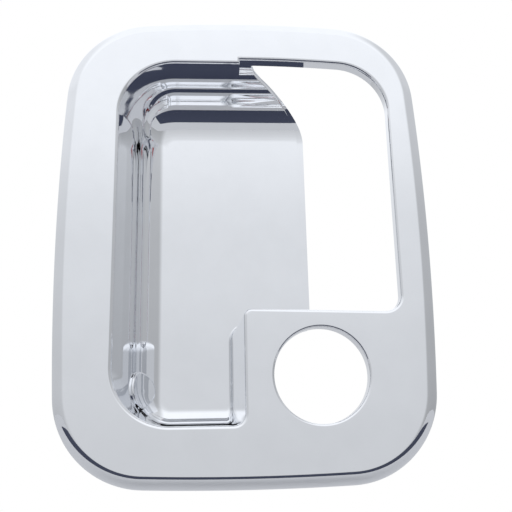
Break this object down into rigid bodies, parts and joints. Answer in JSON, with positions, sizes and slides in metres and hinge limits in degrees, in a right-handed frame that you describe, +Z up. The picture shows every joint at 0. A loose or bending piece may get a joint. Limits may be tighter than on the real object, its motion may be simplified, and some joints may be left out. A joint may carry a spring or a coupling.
{
  "type": "door handle cover",
  "caption": "Chrome-plated stick-on cover for a truck door's cup handle, with a finger cup, paddle window and lock hole.",
  "frame": {"origin": "centre of the cover's outline, in the plane of its rear rim, which meets the door skin", "axes": "+Z up the door, -Y out of the door towards the hand, +Y into the door, +X to the right seen from outside"},
  "size_m": [0.148, 0.0418, 0.191],
  "materials": {
    "chrome_plating": "mirror-bright decorative chrome on ABS",
    "foam_tape": "matt acrylic foam",
    "release_liner": "smooth siliconised film"
  },
  "bodies": {
    "cover": {"cover_shell": "chrome_plating", "tape_top": "foam_tape", "tape_bottom": "foam_tape", "tape_left": "foam_tape", "tape_right": "foam_tape", "tape_lock": "foam_tape", "tape_cup": "foam_tape", "tape_tongue": "foam_tape"},
    "liner_top": {"liner_top": "release_liner"},
    "liner_bottom": {"liner_bottom": "release_liner"},
    "liner_left": {"liner_left": "release_liner"},
    "liner_right": {"liner_right": "release_liner"},
    "liner_lock": {"liner_lock": "release_liner"},
    "liner_cup": {"liner_cup": "release_liner"},
    "liner_tongue": {"liner_tongue": "release_liner"}
  },
  "joints": [
    {"name": "peel_top", "type": "slide", "parent": "cover", "child": "liner_top", "axis": [0, 1, 0], "range_m": [0, 0.05]},
    {"name": "peel_bottom", "type": "slide", "parent": "cover", "child": "liner_bottom", "axis": [0, 1, 0], "range_m": [0, 0.05]},
    {"name": "peel_left", "type": "slide", "parent": "cover", "child": "liner_left", "axis": [0, 1, 0], "range_m": [0, 0.05]},
    {"name": "peel_right", "type": "slide", "parent": "cover", "child": "liner_right", "axis": [0, 1, 0], "range_m": [0, 0.05]},
    {"name": "peel_lock", "type": "slide", "parent": "cover", "child": "liner_lock", "axis": [0, 1, 0], "range_m": [0, 0.05]},
    {"name": "peel_cup", "type": "slide", "parent": "cover", "child": "liner_cup", "axis": [0, 1, 0], "range_m": [0, 0.05]},
    {"name": "peel_tongue", "type": "slide", "parent": "cover", "child": "liner_tongue", "axis": [0, 1, 0], "range_m": [0, 0.05]}
  ]
}
